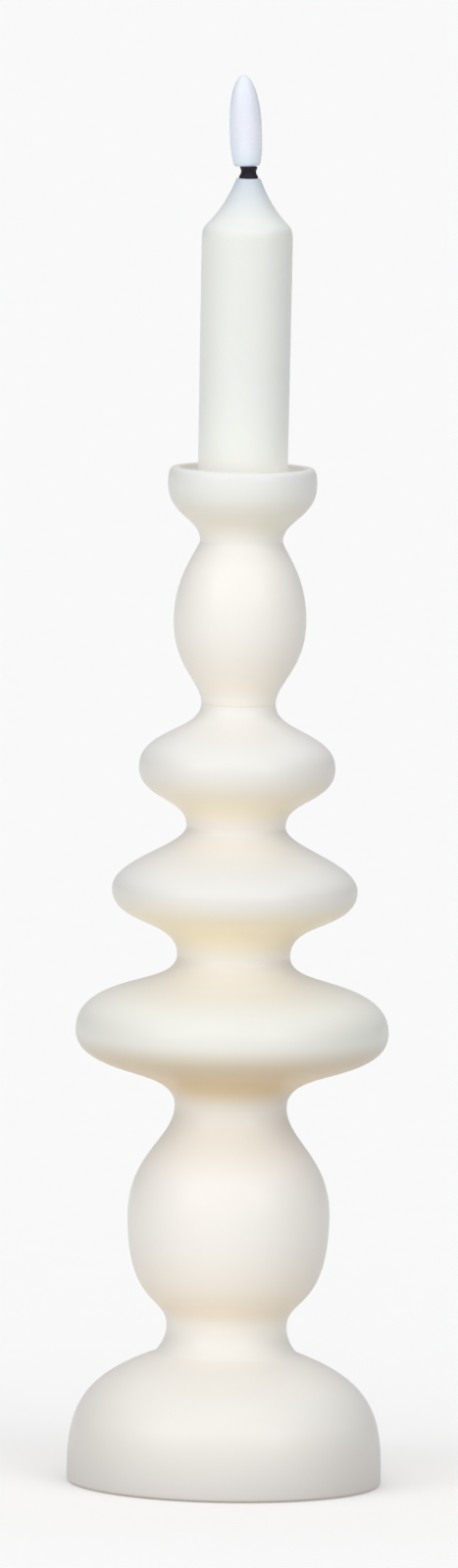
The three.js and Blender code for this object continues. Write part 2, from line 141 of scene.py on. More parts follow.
class Outline:
    """The outline of a turned piece: straight runs, rounded corners and curves."""

    def __init__(self, start):
        self.points = [start]
        self.fillets = {}

    def line(self, *points):
        """Straight on to each point in turn."""
        self.points.extend(points)
        return self

    def corner(self, point, size):
        """Straight on to a point that is rounded, from size before it to size after it."""
        self.fillets[len(self.points)] = size
        self.points.append(point)
        return self

    def curve(self, leave, arrive, end, steps=CURVE_STEPS):
        """A cubic curve with two handles."""
        start = self.points[-1]
        for step in range(1, steps + 1):
            t = step / steps
            weights = ((1 - t) ** 3, 3 * (1 - t) ** 2 * t, 3 * (1 - t) * t**2, t**3)
            controls = (start, leave, arrive, end)
            self.points.append(tuple(sum(w * c[i] for w, c in zip(weights, controls)) for i in (0, 1)))
        return self

    def bend(self, control, end, steps=CURVE_STEPS):
        """A quadratic curve, written as the cubic with the same shape."""
        start = self.points[-1]
        leave = tuple((a + 2 * c) / 3 for a, c in zip(start, control))
        arrive = tuple((b + 2 * c) / 3 for b, c in zip(end, control))
        return self.curve(leave, arrive, end, steps)

    def flow(self, end, leave, arrive):
        """On to the next neck or widest point, upright at both ends."""
        radius, height = self.points[-1]
        return self.curve((radius, height + leave), (end[0], end[1] - arrive), end)

    def finished(self):
        """The points, with their corners rounded and none twice in a row."""
        done = []
        for i, point in enumerate(self.points):
            if i not in self.fillets:
                done.append(point)
                continue
            here = Vector(point)
            before, after = Vector(self.points[i - 1]) - here, Vector(self.points[i + 1]) - here
            start = here + before.normalized() * self.fillets[i]
            end = here + after.normalized() * self.fillets[i]
            for step in range(FILLET_STEPS + 1):
                t = step / FILLET_STEPS
                done.append(tuple(start * (1 - t) ** 2 + here * 2 * t * (1 - t) + end * t**2))
        steps = zip(done, done[1:])
        return done[:1] + [point for last, point in steps if math.dist(last, point) > SAME_PLACE]


# ---------------------------------------------------------------- ways to make a piece


def from_bmesh(name, mesh):
    """A new object from a bmesh, smooth except at its sharp edges."""
    bmesh.ops.recalc_face_normals(mesh, faces=mesh.faces)
    data = bpy.data.meshes.new(name)
    mesh.to_mesh(data)
    mesh.free()
    piece = bpy.data.objects.new(name, data)
    bpy.context.scene.collection.objects.link(piece)
    shade(piece)
    return piece


def shade(piece):
    """Joins points that are in the same place, and makes the faces smooth except across sharp edges."""
    mesh = bmesh.new()
    mesh.from_mesh(piece.data)
    bmesh.ops.remove_doubles(mesh, verts=mesh.verts, dist=SAME_PLACE * MM)
    for face in mesh.faces:
        face.smooth = True
    for edge in mesh.edges:
        edge.smooth = len(edge.link_faces) == 2 and edge.calc_face_angle() < SHARP_ANGLE
    mesh.to_mesh(piece.data)
    mesh.free()


def turned(name, outline, sides=TURNED_SIDES, raised=0.0):
    """A solid turned about Z and raised. Its outline starts and ends on the axis, or closes on itself."""
    points = outline.finished()
    closed = points[0] == points[-1]
    mesh = bmesh.new()
    rings = []
    for radius, height in points[:-1] if closed else points:
        out, up = radius * MM, (height + raised) * MM
        turns = [2 * math.pi * i / sides for i in range(sides if radius > ON_AXIS else 1)]
        rings.append([mesh.verts.new((out * math.cos(a), out * math.sin(a), up)) for a in turns])
    for low, high in zip(rings, rings[1:] + rings[:1] if closed else rings[1:]):
        for i in range(sides):
            j = (i + 1) % sides
            corners = [low[i % len(low)], low[j % len(low)], high[j % len(high)], high[i % len(high)]]
            unique = list(dict.fromkeys(corners))
            if len(unique) > 2:
                mesh.faces.new(unique)
    return from_bmesh(name, mesh)


def extruded(name, corners, direction):
    """A straight solid from a flat outline of points in metres."""
    mesh = bmesh.new()
    face = mesh.faces.new([mesh.verts.new(corner) for corner in corners])
    grown = bmesh.ops.extrude_face_region(mesh, geom=[face])
    moved = [item for item in grown["geom"] if isinstance(item, bmesh.types.BMVert)]
    bmesh.ops.translate(mesh, vec=direction, verts=moved)
    return from_bmesh(name, mesh)


def ring_sector(name, radii, middle, span, heights, steps=16):
    """Part of a ring of the candle, from its middle angle and its span in degrees."""
    inner, outer = radii
    bottom, top = (CANDLE_BOTTOM + height for height in heights)
    angles = [math.radians(middle - span / 2 + span * i / steps) for i in range(steps + 1)]
    arc = [(outer, angle) for angle in angles] + [(inner, angle) for angle in reversed(angles)]
    corners = [(r * MM * math.cos(a), r * MM * math.sin(a), bottom * MM) for r, a in arc]
    return extruded(name, corners, (0, 0, (top - bottom) * MM))


def block(name, low, high):
    """A box between two corners in millimetres."""
    (x0, y0, z0), (x1, y1, z1) = low, high
    corners = [(x * MM, y * MM, z0 * MM) for x, y in ((x0, y0), (x1, y0), (x1, y1), (x0, y1))]
    return extruded(name, corners, (0, 0, (z1 - z0) * MM))


def combine(piece, operation, tools):
    """Cuts the tools out of a piece, or joins them to it, and removes them."""
    for tool in tools:
        step = piece.modifiers.new("combine", "BOOLEAN")
        step.operation = operation
        step.solver = "EXACT"
        step.object = tool
    settle(piece)
    for tool in tools:
        bpy.data.objects.remove(tool)


def settle(piece):
    """Turns a piece's modifiers into its mesh."""
    evaluated = piece.evaluated_get(bpy.context.evaluated_depsgraph_get())
    data = bpy.data.meshes.new_from_object(evaluated)
    piece.modifiers.clear()
    piece.data = data
    shade(piece)


def reshape(piece, move):
    """Moves each vertex to where move says."""
    for vertex in piece.data.vertices:
        vertex.co = move(vertex.co)
    piece.data.update()


def present(piece, body, node, material):
    """Puts a finished piece on its body, in place of its CAD node."""
    piece.data.materials.clear()
    piece.data.materials.append(material)
    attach(piece, body)
    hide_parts(node)
    return piece


# ---------------------------------------------------------------- shader helpers


class Graph:
    """Short ways to add nodes to a node tree."""

    def __init__(self, tree):
        self.tree = tree

    def add(self, kind, settings=(), **inputs):
        node = self.tree.nodes.new(kind)
        for key, value in dict(settings).items():
            setattr(node, key, value)
        for socket, value in inputs.items():
            self.feed(node.inputs[socket.replace("_", " ")], value)
        return node

    def feed(self, socket, value):
        if isinstance(value, bpy.types.NodeSocket):
            self.tree.links.new(value, socket)
        else:
            socket.default_value = value

    def combined(self, kind, operation, first, second):
        """A maths node with two inputs."""
        node = self.add(kind, {"operation": operation})
        self.feed(node.inputs[0], first)
        self.feed(node.inputs[1], second)
        return node

    def product(self, value, factor):
        return self.combined("ShaderNodeMath", "MULTIPLY", value, factor).outputs["Value"]

    def mapped(self, value, low, high, to_low, to_high):
        """Turns low into to_low and high into to_high, and goes no further than either."""
        node = self.add("ShaderNodeMapRange", Value=value, From_Min=low, From_Max=high)
        node.inputs["To Min"].default_value = to_low
        node.inputs["To Max"].default_value = to_high
        return node.outputs["Result"]

    def mixed(self, amount, first, second):
        """The first colour at 0, the second at 1. The node repeats its sockets' names for each data type."""
        colour_a, colour_b, colour_result = 6, 7, 2
        node = self.add("ShaderNodeMix", {"data_type": "RGBA"})
        self.feed(node.inputs["Factor"], amount)
        self.feed(node.inputs[colour_a], first)
        self.feed(node.inputs[colour_b], second)
        return node.outputs[colour_result]


class Surface(Graph):
    """A Principled material, with object coordinates to place its textures.

    Texture scales are in features per metre, and bump depths are in metres.
    """

    def __init__(self, name, **sockets):
        self.material = bpy.data.materials.new(name)
        self.material.use_nodes = True
        super().__init__(self.material.node_tree)
        self.shader = self.tree.nodes["Principled BSDF"]
        for socket, value in sockets.items():
            self.shader.inputs[socket.replace("_", " ")].default_value = value
        self.place = self.add("ShaderNodeTexCoord").outputs["Object"]

    def stretched(self, x, y, z):
        """Object coordinates, scaled along each axis."""
        return self.add("ShaderNodeMapping", Vector=self.place, Scale=(x, y, z)).outputs["Vector"]

    def around(self, ring_scale, height_scale):
        """Coordinates that only change with the distance from the turning axis and the height."""
        parts = self.add("ShaderNodeSeparateXYZ", Vector=self.place).outputs
        flat = self.add("ShaderNodeCombineXYZ", X=parts["X"], Y=parts["Y"]).outputs["Vector"]
        radius = self.add("ShaderNodeVectorMath", {"operation": "LENGTH"}, Vector=flat).outputs["Value"]
        ringed = self.product(radius, ring_scale)
        raised = self.product(parts["Z"], height_scale)
        return self.add("ShaderNodeCombineXYZ", X=ringed, Z=raised).outputs["Vector"]

    def noise(self, place, scale, detail=3.0, roughness=0.5):
        node = self.add("ShaderNodeTexNoise", Vector=place, Scale=scale, Detail=detail, Roughness=roughness)
        return node.outputs["Fac"]

    def height(self):
        return self.add("ShaderNodeSeparateXYZ", Vector=self.place).outputs["Z"]

    def graded(self, height, shades):
        """Blends through (height in millimetres, colour) steps."""
        colour = (*shades[0][1], 1)
        for (low, _), (high, shade_above) in zip(shades, shades[1:]):
            step = self.mapped(height, low * MM, high * MM, 0.0, 1.0)
            colour = self.mixed(step, colour, (*shade_above, 1))
        return colour

    def facing_up(self):
        """1 on a level top, 0 on an upright side and -1 on a level underside."""
        normal = self.add("ShaderNodeTexCoord").outputs["Normal"]
        return self.add("ShaderNodeSeparateXYZ", Vector=normal).outputs["Z"]

    def openness(self, distance):
        """1 in the open, down to 0 deep in a crevice, judged within a distance in metres."""
        return self.add("ShaderNodeAmbientOcclusion", {"samples": 8}, Distance=distance).outputs["AO"]

    def bumped(self, *layers):
        """Stacks (height, depth in metres) layers into the shader's normal."""
        normal = None
        for height, depth in layers:
            node = self.add("ShaderNodeBump", Height=height, Distance=depth)
            if normal:
                self.feed(node.inputs["Normal"], normal)
            normal = node.outputs["Normal"]
        self.feed(self.shader.inputs["Normal"], normal)

    def colour(self, value):
        self.feed(self.shader.inputs["Base Color"], value)

    def roughness(self, value):
        self.feed(self.shader.inputs["Roughness"], value)


# ---------------------------------------------------------------- materials


# The lacquer's cream colour by height, with painted light and shade laid in: lighter and darker bands stand
# for how light falls at each height. Heights are in millimetres.
LACQUER_AND_PAINTED_SHADE_BY_HEIGHT = (
    (30, (0.855, 0.807, 0.722)),
    (50, (0.91, 0.853, 0.77)),
    (85, (0.95, 0.89, 0.81)),
    (105, (0.815, 0.8, 0.74)),
    (120, (0.855, 0.825, 0.71)),
    (146, (0.84, 0.8, 0.73)),
    (176, (0.845, 0.805, 0.73)),
    (200, (0.92, 0.865, 0.785)),
    (225, (0.93, 0.88, 0.79)),
    (240, (0.845, 0.83, 0.77)),
)
# Painted shade on what faces down, warm and dark, darkest under the lowest disc. Heights are in millimetres.
PAINTED_UNDERSIDE_SHADES = (
    (50, (0.93, 0.79, 0.6)),
    (85, (0.86, 0.64, 0.36)),
    (112, (0.78, 0.55, 0.25)),
    (125, (1.0, 0.88, 0.62)),
    (165, (1.0, 0.89, 0.68)),
    (200, (0.96, 0.87, 0.72)),
    (235, (0.98, 0.91, 0.72)),
)


def cream_lacquer():
    """Satin cream lacquer over turned wood. The grain and the tool's rings just show through it.

    Painted light and shade are laid into its colour: shade that changes with the height, a painted warm glow
    deep between the discs, painted warm shade on what faces down, and painted darkening round the foot's
    lower edge.
    """
    crevice, painted_foot_shade_height = 0.035, 0.017
    s = Surface("cream_lacquer", Coat_Weight=0.2, Coat_Roughness=0.3)
    grain = s.noise(s.stretched(900, 900, 55), 1.0, 4.0, 0.6)
    rings = s.noise(s.around(1100, 1100), 1.0, 2.0)
    peel = s.noise(s.place, 520.0, 2.0)
    cloud = s.noise(s.place, 26.0, 3.0)
    height = s.height()
    # The cream colour, with painted light and shade that changes with the height.
    coat = s.graded(height, LACQUER_AND_PAINTED_SHADE_BY_HEIGHT)
    clouded = s.mixed(s.mapped(cloud, 0.35, 0.65, 0.0, 0.12), coat, (0.97, 0.94, 0.88, 1))
    veined = s.mixed(s.mapped(grain, 0.62, 0.8, 0.0, 0.1), clouded, (0.74, 0.66, 0.54, 1))
    # Painted light: crevices between the discs are lightened and warmed, for light bouncing between them.
    hidden = s.mapped(s.openness(crevice), 0.5, 1.0, 1.0, 0.0)
    painted_crevice_glow = s.mixed(s.product(hidden, 0.75), veined, (0.98, 0.91, 0.815, 1))
    # Painted shade on what faces down, with more of it in crevices.
    facing_down = s.mapped(s.facing_up(), -0.05, -0.95, 0.0, 1.0)
    underside = s.product(facing_down, s.mapped(hidden, 0.0, 0.7, 0.65, 1.0))
    underside_shaded = s.mixed(underside, painted_crevice_glow, s.graded(height, PAINTED_UNDERSIDE_SHADES))
    # Painted shade: darker towards the foot's lower edge, where it meets the table.
    s.colour(s.mixed(s.mapped(height, 0.0, painted_foot_shade_height, 0.95, 0.0), underside_shaded, (0.675, 0.625, 0.575, 1)))
    s.roughness(s.mapped(peel, 0.3, 0.7, 0.36, 0.46))
    s.bumped((grain, 0.00002), (rings, 0.000012), (peel, 0.000012))
    return s.material


def wax():
    """Ivory wax: light sinks in, and dipping left soft upright streaks.

    It carries a painted pale glow just above the cup, for light bounced up from it, and a painted cool
    grey towards the thin tip, for light shining through the thin wax.
    """
    s = Surface("wax", Subsurface_Weight=0.3, Subsurface_Scale=0.0012)
    s.shader.inputs["Subsurface Radius"].default_value = (1.0, 0.8, 0.55)
    streaks = s.noise(s.stretched(160, 160, 9), 1.0, 3.0)
    mottle = s.noise(s.place, 140.0, 4.0, 0.6)
    grain = s.noise(s.place, 1500.0, 2.0)
    tone = s.mixed(s.mapped(streaks, 0.35, 0.65, 0.0, 1.0), (0.85, 0.85, 0.785, 1), (0.87, 0.87, 0.805, 1))
    mottled = s.mixed(s.mapped(mottle, 0.55, 0.75, 0.0, 0.2), tone, (0.92, 0.91, 0.87, 1))
    # Painted light: paler just above the cup, standing in for light bounced up from it.
    painted_bounce_from, painted_bounce_to = ((RIM_HEIGHT + z) * MM for z in (2.5, 22.5))
    pale = s.mixed(s.mapped(s.height(), painted_bounce_from, painted_bounce_to, 0.6, 0.0), mottled, (0.94, 0.935, 0.86, 1))
    # Painted shade: a cool grey towards the tip, standing in for light through the thin wax.
    above_shoulder, tip = ((CANDLE_BOTTOM + z) * MM for z in (SHOULDER_HEIGHT + 3, TIP[1]))
    s.colour(s.mixed(s.mapped(s.height(), above_shoulder, tip, 0.0, 0.85), pale, (0.58, 0.64, 0.71, 1)))
    s.roughness(s.mapped(mottle, 0.3, 0.7, 0.3, 0.42))
    s.bumped((streaks, 0.00005), (mottle, 0.00002), (grain, 0.000006))
    return s.material


def opal_plastic():
    """Milky moulded plastic with a faint cloudiness. Its bluer foot is painted light, for glassy glints near
    the wick.
    """
    s = Surface("opal_plastic", Subsurface_Weight=0.5, Subsurface_Scale=0.005, IOR=1.49)
    s.shader.inputs["Subsurface Radius"].default_value = (0.8, 0.9, 1.0)
    cloud = s.noise(s.stretched(260, 260, 90), 1.0, 3.0)
    grain = s.noise(s.place, 1200.0, 2.0)
    milk = s.mixed(s.mapped(cloud, 0.35, 0.65, 0.0, 1.0), (0.82, 0.83, 0.895, 1), (0.87, 0.87, 0.93, 1))
    # Painted light: bluer at the flame's foot, standing in for glassy glints near the wick.
    foot_from, foot_to = ((CANDLE_BOTTOM + COLLAR_TOP + z) * MM for z in (0, 6))
    s.colour(s.mixed(s.mapped(s.height(), foot_from, foot_to, 0.8, 0.0), milk, (0.74, 0.87, 0.93, 1)))
    s.roughness(s.mapped(grain, 0.3, 0.7, 0.2, 0.28))
    s.bumped((cloud, 0.00001), (grain, 0.000002))
    return s.material


def moulded(name, dark, light, low_roughness, high_roughness, **sockets):
    """Moulded plastic: fine spark-eroded grain and slight flow marks."""
    s = Surface(name, **sockets)
    grain = s.noise(s.place, 2400.0, 2.0)
    flow = s.noise(s.stretched(120, 120, 300), 1.0, 3.0)
    s.colour(s.mixed(s.mapped(flow, 0.35, 0.65, 0.0, 1.0), dark, light))
    s.roughness(s.mapped(grain, 0.3, 0.7, low_roughness, high_roughness))
    s.bumped((grain, 0.000008), (flow, 0.00001))
    return s.material


def felt():
    """Pressed wool: short crossing fibres, a few darker, with a soft nap."""
    s = Surface("felt", Roughness=0.95, Sheen_Weight=0.5, Sheen_Roughness=0.6)
    fibres = s.noise(s.stretched(2600, 500, 900), 1.0, 5.0, 0.7)
    crossing = s.noise(s.stretched(450, 2400, 900), 1.0, 5.0, 0.7)
    tone = s.mixed(s.mapped(fibres, 0.35, 0.65, 0.0, 1.0), (0.6, 0.55, 0.46, 1), (0.72, 0.67, 0.58, 1))
    s.colour(s.mixed(s.mapped(crossing, 0.62, 0.75, 0.0, 0.5), tone, (0.47, 0.42, 0.34, 1)))
    s.bumped((fibres, 0.00015), (crossing, 0.00015))
    return s.material


def beech():
    """Bare beech: upright grain with short dark flecks."""
    s = Surface("beech")
    grain = s.noise(s.stretched(700, 700, 30), 1.0, 5.0, 0.6)
    flecks = s.noise(s.stretched(2200, 2200, 260), 1.0, 2.0)
    wood = s.mixed(s.mapped(grain, 0.3, 0.7, 0.0, 1.0), (0.55, 0.34, 0.17, 1), (0.72, 0.5, 0.29, 1))
    s.colour(s.mixed(s.mapped(flecks, 0.62, 0.72, 0.0, 0.6), wood, (0.33, 0.18, 0.08, 1)))
    s.roughness(s.mapped(grain, 0.3, 0.7, 0.6, 0.75))
    s.bumped((grain, 0.00006), (flecks, 0.00003))
    return s.material


def steel():
    """Plated sheet steel and wire with fine drawing lines."""
    s = Surface("steel", Metallic=1.0)
    lines = s.noise(s.stretched(3000, 3000, 200), 1.0, 3.0)
    smudge = s.noise(s.place, 180.0, 3.0)
    s.colour(s.mixed(s.mapped(smudge, 0.35, 0.65, 0.0, 1.0), (0.56, 0.57, 0.58, 1), (0.7, 0.71, 0.72, 1)))
    s.roughness(s.mapped(smudge, 0.3, 0.7, 0.22, 0.38))
    s.bumped((lines, 0.000006))
    return s.material


def circuit_board():
    """Green solder mask over a grid of tracks."""
    s = Surface("circuit_board", Coat_Weight=0.4, Coat_Roughness=0.2)
    tracks = s.add("ShaderNodeTexBrick", Vector=s.stretched(260, 260, 260), Scale=1.0, Mortar_Size=0.06)
    weave = s.noise(s.place, 1800.0, 2.0)
    s.colour(s.mixed(tracks.outputs["Fac"], (0.02, 0.13, 0.05, 1), (0.05, 0.24, 0.1, 1)))
    s.roughness(s.mapped(weave, 0.3, 0.7, 0.35, 0.5))
    s.bumped((tracks.outputs["Fac"], 0.00002), (weave, 0.000004))
    return s.material


def cell_jacket():
    """Printed cell sleeve: a dark body below a warm metallic band."""
    s = Surface("cell_jacket", Metallic=0.6)
    low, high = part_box("battery_cell")
    band_share, blur = 0.7, 0.0002
    band = low.z + band_share * (high.z - low.z)
    above = s.mapped(s.height(), band, band + blur, 0.0, 1.0)
    scuffs = s.noise(s.stretched(900, 900, 120), 1.0, 4.0, 0.6)
    sleeve = s.mixed(above, (0.05, 0.055, 0.06, 1), (0.55, 0.33, 0.14, 1))
    s.colour(s.mixed(s.mapped(scuffs, 0.6, 0.8, 0.0, 0.3), sleeve, (0.4, 0.4, 0.4, 1)))
    s.roughness(s.mapped(scuffs, 0.3, 0.7, 0.25, 0.4))
    s.bumped((scuffs, 0.00001))
    return s.material


def clear_resin():
    """Pale cast resin of the lamp."""
    s = Surface("clear_resin", Transmission_Weight=0.7, IOR=1.5)
    swirl = s.noise(s.place, 400.0, 2.0)
    s.colour(s.mixed(s.mapped(swirl, 0.3, 0.7, 0.0, 1.0), (0.93, 0.87, 0.66, 1), (0.96, 0.92, 0.76, 1)))
    s.roughness(s.mapped(swirl, 0.3, 0.7, 0.08, 0.16))
    s.bumped((swirl, 0.00001))
    return s.material


# ---------------------------------------------------------------- candlestick pieces


def foot():
    """The domed foot, with its cove, its felt's recess and its screw's stepped hole."""
    recess_edge = 0.2
    outline = Outline((SCREW_HOLE, FOOT_NECK[1]))
    outline.line((SCREW_HOLE, SCREW_SEAT_TOP), SCREW_SEAT, (COUNTERBORE, SCREW_SEAT[1]))
    outline.line((COUNTERBORE, FELT_RECESS[1]), FELT_RECESS)
    outline.corner((FELT_RECESS[0], FOOT_UNDERSIDE), recess_edge)
    outline.corner((FOOT_RADIUS, FOOT_UNDERSIDE), FOOT_EDGE)
    outline.line((FOOT_RADIUS, FOOT_SIDE_TOP))
    outline.curve((FOOT_RADIUS, FOOT_SIDE_TOP + FOOT_DOME_HANDLE), CREASE_TO_DOME, CREASE)
    outline.curve(CREASE_TO_COVE, (FOOT_NECK[0], FOOT_NECK[1] - FOOT_COVE_HANDLE), FOOT_NECK)
    outline.line((SCREW_HOLE, FOOT_NECK[1]))
    return turned("turned_foot", outline)


def section(name, below, widest, above, bore_below=DOWEL_BORE, bore_above=DOWEL_BORE, seam_above=False):
    """One turned section between two necks, bored at both ends."""
    (wide, (leave_below, arrive_wide, leave_wide, arrive_above)) = widest
    top = above[1] - (SEAM_GAP / 2 if seam_above else 0)
    radius, end = bore_below[0], below[1] + bore_below[1]
    outline = Outline((0, end))
    outline.line((radius, end), (radius, below[1]), below)
    outline.flow(wide, leave_below, arrive_wide)
    if seam_above:
        outline.flow((above[0], top - SEAM_ROUNDING), leave_wide, arrive_above)
        outline.corner((above[0], top), SEAM_ROUNDING)
    else:
        outline.flow(above, leave_wide, arrive_above)
    radius, end = bore_above[0], above[1] - bore_above[1]
    outline.line((radius, top), (radius, end), (0, end))
    return turned(name, outline)


def cup():
    """The bulb, the cup's neck and the cup with its shallow dish and the candle's socket."""
    rim_edge, dish_edge, dish_taper = 0.5, 1.4, 0.3
    bottom = UPPER_NECK[1] + SEAM_GAP / 2
    outline = Outline((0, UPPER_NECK[1] + DOWEL_BORE[1]))
    outline.line((DOWEL_BORE[0], UPPER_NECK[1] + DOWEL_BORE[1]), (DOWEL_BORE[0], bottom))
    outline.corner((UPPER_NECK[0], bottom), SEAM_ROUNDING)
    outline.line((UPPER_NECK[0], bottom + SEAM_ROUNDING))
    outline.flow(BULB[0], BULB[1][0], BULB[1][1])
    outline.flow(CUP_NECK, BULB[1][2], BULB[1][3])
    outline.flow(CUP[0], *CUP[1])
    upright = (CUP[0][0], RIM_HEIGHT - RIM_UPRIGHT)
    outline.curve(upright, (RIM_OUTER + RIM_CROWN, RIM_HEIGHT), (RIM_OUTER, RIM_HEIGHT))
    outline.corner((RIM_INNER, RIM_HEIGHT), rim_edge)
    outline.corner((RIM_INNER - dish_taper, DISH_FLOOR), dish_edge)
    outline.corner((SOCKET_RADIUS, DISH_FLOOR), rim_edge)
    outline.line((SOCKET_RADIUS, SOCKET_FLOOR), (0, SOCKET_FLOOR))
    return turned("turned_cup", outline)


def felt_pad():
    """The pad's faces and edge are slightly uneven, as cut felt is. Its lowest point stays over the table."""
    unevenness, share, bumps_per_metre, edge = 0.06, 0.9, 900, 0.3
    rings = range(2, int(FELT_RADIUS), 2)
    outline = Outline((0, unevenness))
    outline.line(*[(radius, unevenness) for radius in rings])
    outline.corner((FELT_RADIUS, unevenness), edge)
    outline.corner((FELT_RADIUS, FELT_TOP), edge)
    outline.line(*[(radius, FELT_TOP) for radius in reversed(rings)], (0, FELT_TOP))
    pad = turned("felt_disc", outline)
    noise.seed_set(FELT_SEED)
    reshape(pad, lambda co: co + noise.noise_vector(co * bumps_per_metre) * unevenness * MM * share)
    return pad


# ---------------------------------------------------------------- candle pieces


def candle_body():
    """The wax coat is a little wavy; inside, slots take the cap's lugs."""
    lower_edge, tip_edge, tip_flat, tip_side = 0.4, 0.2, 0.1, 0.3
    side_steps, shoulder_steps = 30, 10
    outline = Outline((TIP_HOLE[0], TIP[1]))
    outline.line(TIP_HOLE)
    outline.bend(TIP_BORE_BEND, (CANDLE_BORE, CANDLE_BORE_TOP))
    outline.line((CANDLE_BORE, CANDLE_TUBE_BOTTOM))
    outline.corner((CANDLE_RADIUS, CANDLE_TUBE_BOTTOM), lower_edge)
    side_top = SHOULDER_HEIGHT - SHOULDER_SOFTNESS
    for step in range(1, side_steps + 1):
        t = step / side_steps
        height = CANDLE_TUBE_BOTTOM + (side_top - CANDLE_TUBE_BOTTOM) * t
        outline.line((CANDLE_RADIUS + (CANDLE_TOP_RADIUS - CANDLE_RADIUS) * t, height))
    outline.bend(SHOULDER_BEND, SHOULDER_TOP, steps=shoulder_steps)
    outline.bend(TIP_BEND, (TIP[0], TIP[1] - tip_side))
    outline.corner((TIP[0] - tip_flat, TIP[1]), tip_edge)
    outline.line((TIP_HOLE[0], TIP[1]))
    body = turned("wax_candle", outline, raised=CANDLE_BOTTOM)
    reshape(body, waxy)
    slots = []
    for angle in LUG_ANGLES:
        span = LUG_SPAN + SLOT_PLAY
        slots.append(ring_sector("slot", SLOT_RING, angle + CAP_TURN / 2, span + CAP_TURN, SLOT_HEIGHTS))
        entry = (CANDLE_TUBE_BOTTOM - OVERCUT, SLOT_HEIGHTS[1])
        slots.append(ring_sector("entry", SLOT_RING, angle + CAP_TURN, span, entry))
    combine(body, "DIFFERENCE", slots)
    return body


def waxy(co):
    """Waves of a few hundredths of a millimetre on the outside of the candle, longer upright than across."""
    across, upright, depth = 130, 28, 0.05
    radius = math.hypot(co.x, co.y)
    if radius < (CANDLE_BORE + 1) * MM:
        return co
    wave = noise.noise(Vector((co.x * across, co.y * across, co.z * upright)))
    scale = 1 - (depth + depth * wave) * MM / radius
    return Vector((co.x * scale, co.y * scale, co.z))


def wick_collar():
    """A black ferrule with a waist between two rolled edges."""
    bottom, top = TIP[1] + 0.05, COLLAR_TOP
    middle = (bottom + top) / 2
    bore, sleeve, waist, rolled_edge = 1.1, 1.6, 1.5, 0.2
    sleeve_bottom = 79.3
    outline = Outline((bore, top))
    outline.line((bore, sleeve_bottom), (sleeve, sleeve_bottom), (sleeve, bottom))
    outline.corner((2.35, bottom), rolled_edge)
    outline.line((2.3, bottom + 0.5))
    outline.bend((waist, middle), (2.1, top - 0.45), steps=12)
    outline.corner((2.15, top), rolled_edge)
    outline.line((bore, top))
    return turned("wick_ferrule", outline, SMALL_SIDES, raised=CANDLE_BOTTOM)


def flame_tip():
    """A flame-shaped diffuser, a little aside of its upright stem and leaning the same way."""
    bottom, base, radius, widest, top = 85.55, 2.9, 3.95, 9.2, 22.3
    outline = Outline((0, 0))
    outline.corner((base, 0), 0.35)
    outline.curve((3.65, 0.35), (radius, widest - 5.0), (radius, widest))
    outline.curve((radius, widest + 6.6), (2.5, top - 0.7), (0, top))
    flame = turned("opal_flame", outline, SMALL_SIDES)
    lean = Matrix.Rotation(-FLAME_LEAN, 4, "Y")
    raised = CANDLE_BOTTOM + bottom
    flame.data.transform(Matrix.Translation((-FLAME_ASIDE * MM, 0, raised * MM)) @ lean)
    stem_radius, stem_bottom, stem_top = 0.8, 81.6, bottom + 1
    stem_outline = Outline((0, stem_bottom))
    stem_outline.line((stem_radius, stem_bottom), (stem_radius, stem_top), (0, stem_top))
    stem = turned("stem", stem_outline, SMALL_SIDES // 2)
    stem.data.transform(Matrix.Translation((0, 0, CANDLE_BOTTOM * MM)))
    combine(flame, "UNION", [stem])
    return flame


def battery_cap():
    """A twist cap: ribbed edge, hollow neck, two lugs and the switch's slot."""
    flange, plate, neck, hollow, top = 10.7, 2.0, 8.65, 7.2, 8.4
    lower_edge, upper_edge, neck_edge = 0.4, 0.25, 0.3
    slot_x, slot_y, recess_x, recess_y, recess_depth = 2.6, 1.5, 4.5, 2.3, 0.6
    outline = Outline((0, 0))
    outline.corner((flange, 0), lower_edge)
    outline.corner((flange, plate), upper_edge)
    outline.line((neck, plate))
    outline.corner((neck, top), neck_edge)
    outline.line((hollow, top), (hollow, plate), (0, plate))
    cap = turned("twist_cap", outline, raised=CANDLE_BOTTOM)
    reshape(cap, ribbed)
    lugs = [ring_sector("lug", LUG_RING, angle, LUG_SPAN, LUG_HEIGHTS) for angle in LUG_ANGLES]
    combine(cap, "UNION", lugs)
    below, base = CANDLE_BOTTOM - OVERCUT, CANDLE_BOTTOM
    slot = block("slot", (-slot_x, -slot_y, below), (slot_x, slot_y, base + plate + OVERCUT))
    recess = block("recess", (-recess_x, -recess_y, below), (recess_x, recess_y, base + recess_depth))
    combine(cap, "DIFFERENCE", [slot, recess])
    return cap


def ribbed(co):
    """Finger ribs round the cap's edge."""
    ribs, depth, edge = 36, 0.25, 10.0
    radius = math.hypot(co.x, co.y)
    if radius < edge * MM:
        return co
    cut = depth * MM * (0.5 - 0.5 * math.cos(ribs * math.atan2(co.y, co.x)))
    return Vector((co.x * (1 - cut / radius), co.y * (1 - cut / radius), co.z))


